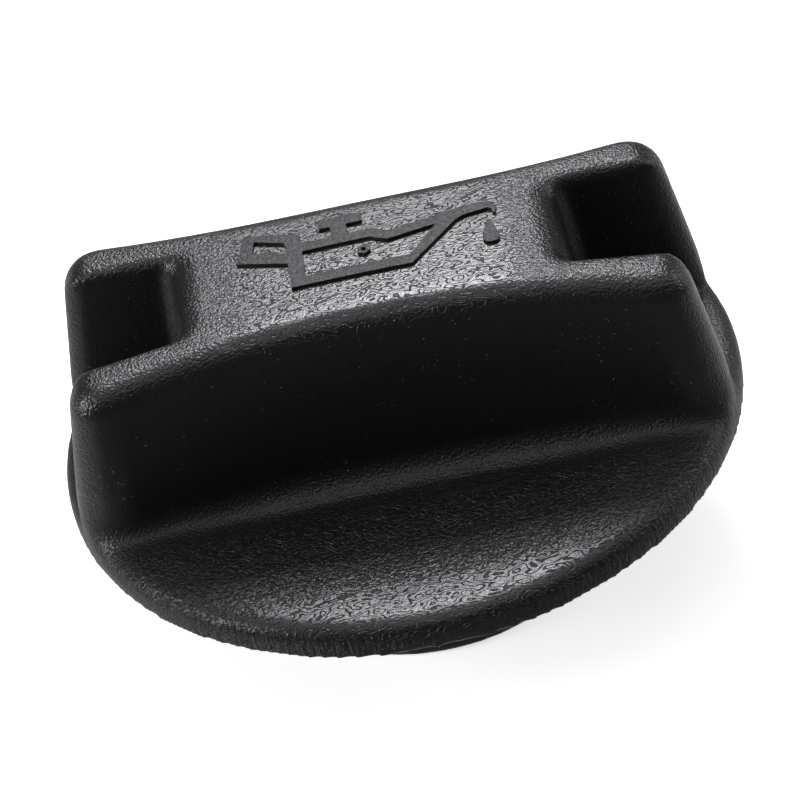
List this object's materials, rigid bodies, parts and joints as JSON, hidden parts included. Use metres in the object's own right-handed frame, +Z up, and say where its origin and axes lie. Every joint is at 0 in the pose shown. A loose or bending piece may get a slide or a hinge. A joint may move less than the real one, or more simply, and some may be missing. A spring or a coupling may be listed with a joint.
{
  "type": "engine oil filler cap",
  "caption": "Round black plastic filler cap with a waisted, forked turning grip on top and a hollow bayonet stem with a rubber ring below, which closes an engine's oil filler neck.",
  "frame": {"origin": "middle of the stem's lower end, at the bottom of the cap's bounding box", "axes": "+Z up along the cap's axis through the grip, +X along the grip and the two lugs, +Y towards the back of the grip"},
  "size_m": [0.076, 0.076, 0.0415],
  "materials": {
    "body": "grained black nylon, half matte",
    "seal": "smooth black rubber"
  },
  "bodies": {
    "root": {"cap_body": "body", "seal_ring": "seal"}
  },
  "joints": []
}
